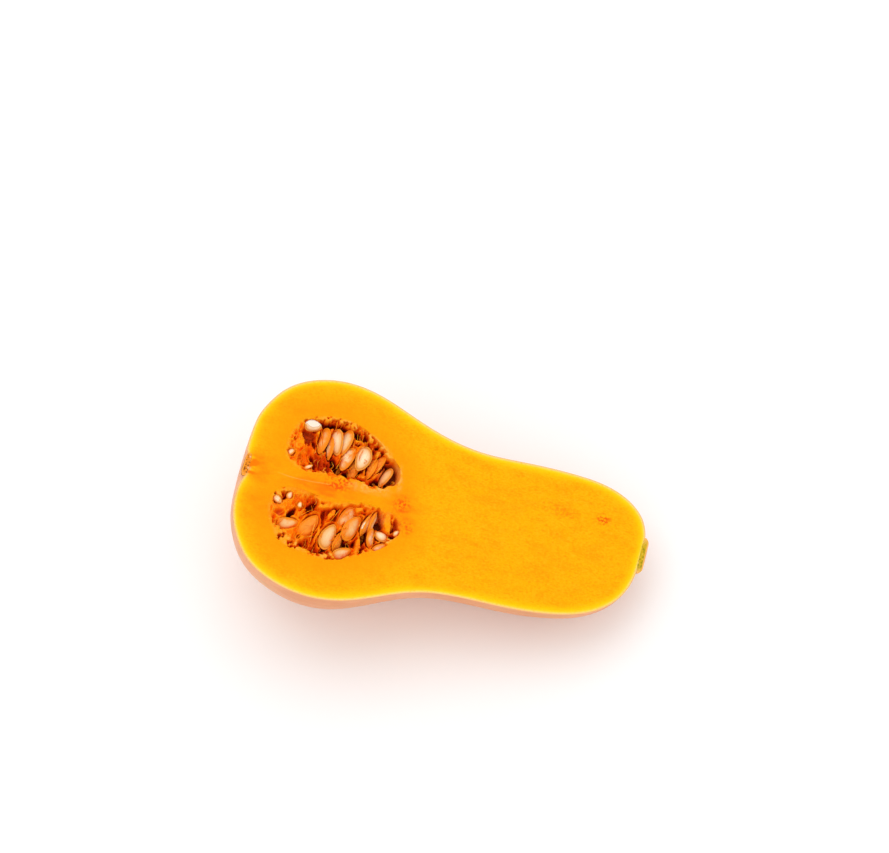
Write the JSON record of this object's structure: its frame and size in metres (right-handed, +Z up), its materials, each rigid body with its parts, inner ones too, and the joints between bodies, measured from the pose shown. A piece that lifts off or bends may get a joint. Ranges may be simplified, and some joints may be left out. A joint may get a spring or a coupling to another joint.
{
  "type": "halved butternut squash",
  "caption": "Butternut squash cut lengthwise, lying on its round back with the cut face up, the seed chambers open and full of pulp and seeds.",
  "frame": {"origin": "on the surface that the half rests on, under the middle of its bounding box", "axes": "+X from the blossom end to the stem end, +Y across the cut face, +Z up"},
  "size_m": [0.2364, 0.1304, 0.0818],
  "materials": {
    "flesh_and_skin": "moist cut flesh with a satin tan skin",
    "pulp_and_seeds": "wet, fibrous",
    "blossom_cork": "dry, matte",
    "stem_wood": "dry, matte, ridged"
  },
  "bodies": {
    "root": {"squash_half": "flesh_and_skin", "pulp_seeds_upper": "pulp_and_seeds", "pulp_seeds_lower": "pulp_and_seeds", "blossom_scar": "blossom_cork", "stem_stub": "stem_wood"}
  },
  "joints": []
}
